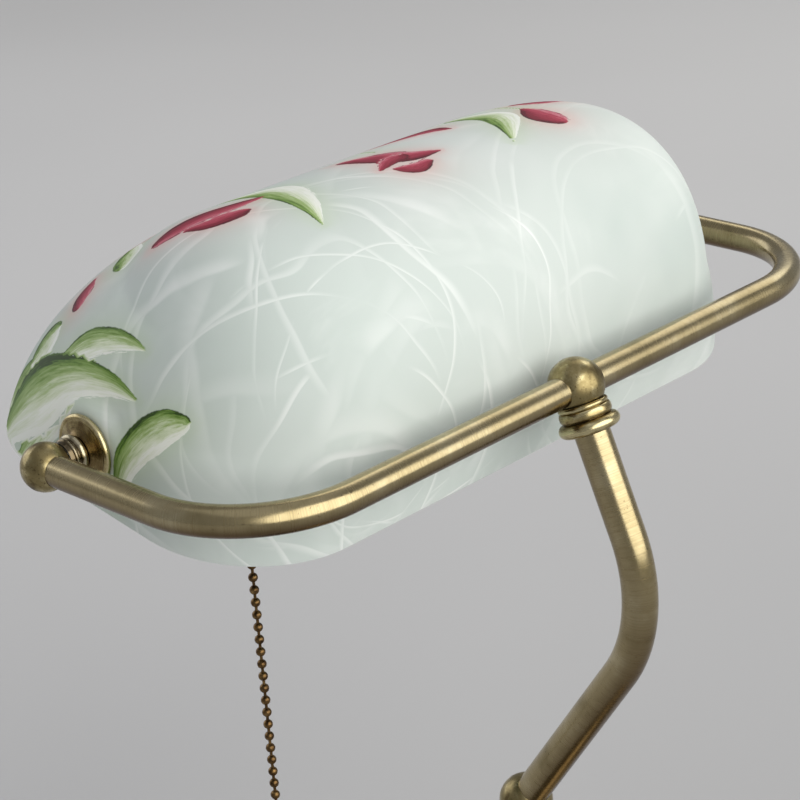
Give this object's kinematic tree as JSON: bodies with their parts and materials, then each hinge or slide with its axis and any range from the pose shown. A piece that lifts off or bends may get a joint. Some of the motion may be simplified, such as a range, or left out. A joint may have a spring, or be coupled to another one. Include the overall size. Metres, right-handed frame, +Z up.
{
  "type": "desk lamp",
  "caption": "Banker's desk lamp: painted glass trough shade tilting in a brass yoke on a cranked swivelling arm, over a round weighted base, with a pull-chain switch.",
  "frame": {"origin": "middle of the underside of the base pad, on the column's axis", "axes": "+Z up; the user sits on the -Y side, under the shade's front; +X towards the end with the lampholder and the pull chain"},
  "size_m": [0.2828, 0.2061, 0.367],
  "materials": {
    "antique_brass": "satin, antiqued",
    "dark_brass": "polished, darkened",
    "alabaster_glass": "frosted, cloudy white, painted with flowers",
    "opal_bulb": "opal",
    "zinc_steel": "zinc plated",
    "cast_iron": "rough cast",
    "black_rubber": "matt",
    "vulcan_fibre": "pressed fibre",
    "black_phenolic": "moulded",
    "green_felt": "felt",
    "clear_flex": "PVC sleeved wire"
  },
  "bodies": {
    "base": {"base_pad": "green_felt", "base_weight": "cast_iron", "base_shell": "antique_brass", "base_threaded_tube": "zinc_steel", "base_nut": "zinc_steel", "base_washer": "zinc_steel", "cord_grommet": "black_rubber", "column_foot": "antique_brass", "column_tube": "antique_brass", "column_cap": "antique_brass", "stop_pin": "zinc_steel", "friction_washer": "vulcan_fibre"},
    "arm": {"lower_collar": "antique_brass", "lower_ball": "antique_brass", "swivel_spindle": "zinc_steel", "swivel_spring_washer": "zinc_steel", "swivel_nut": "zinc_steel", "arm_tube": "antique_brass", "centre_collar": "antique_brass", "centre_threaded_tube": "zinc_steel", "centre_ball": "antique_brass", "yoke_tube": "antique_brass", "end_ball_near": "antique_brass", "end_ball_far": "antique_brass", "neck_rings_near": "dark_brass", "neck_rings_far": "dark_brass", "rosette_near": "antique_brass", "rosette_far": "antique_brass", "threaded_tube_near": "zinc_steel", "threaded_tube_far": "zinc_steel", "clamp_washer_near": "zinc_steel", "clamp_washer_far": "zinc_steel", "clamp_nut_near": "zinc_steel", "clamp_nut_far": "zinc_steel", "arm_lead": "clear_flex", "socket_locknut": "zinc_steel", "socket_cap": "antique_brass", "socket_shell": "antique_brass", "socket_liner": "vulcan_fibre", "switch_body": "black_phenolic", "screw_shell": "antique_brass", "centre_contact": "antique_brass", "chain_guide": "antique_brass", "bulb_contact": "black_phenolic", "bulb_screw_cap": "zinc_steel", "bulb_globe": "opal_bulb"},
    "shade": {"glass_shade": "alabaster_glass", "outer_washer_near": "black_rubber", "outer_washer_far": "black_rubber", "inner_washer_near": "black_rubber", "inner_washer_far": "black_rubber"},
    "pull": {"pull_chain_top": "dark_brass", "pull_spring": "zinc_steel"},
    "chain": {"pull_chain": "dark_brass", "pull_knob": "antique_brass"}
  },
  "joints": [
    {"name": "arm_swivel", "type": "hinge", "parent": "base", "child": "arm", "pos_m": [0, 0, 0.15], "axis": [0, 0, 1], "range_deg": [-160, 160]},
    {"name": "shade_tilt", "type": "hinge", "parent": "arm", "child": "shade", "pos_m": [0, -0.05691, 0.3071], "axis": [1, 0, 0], "range_deg": [-35, 55]},
    {"name": "chain_pull", "type": "slide", "parent": "arm", "child": "pull", "axis": [0, 0, -1], "range_m": [0, 0.006], "stiffness_N_per_m": 800, "springref_m": -0.001, "deforming": ["pull_spring"]},
    {"name": "chain_swing", "type": "hinge", "parent": "pull", "child": "chain", "pos_m": [0.06075, -0.05691, 0.2851], "axis": [1, 0, 0], "range_deg": [-25, 25]}
  ]
}
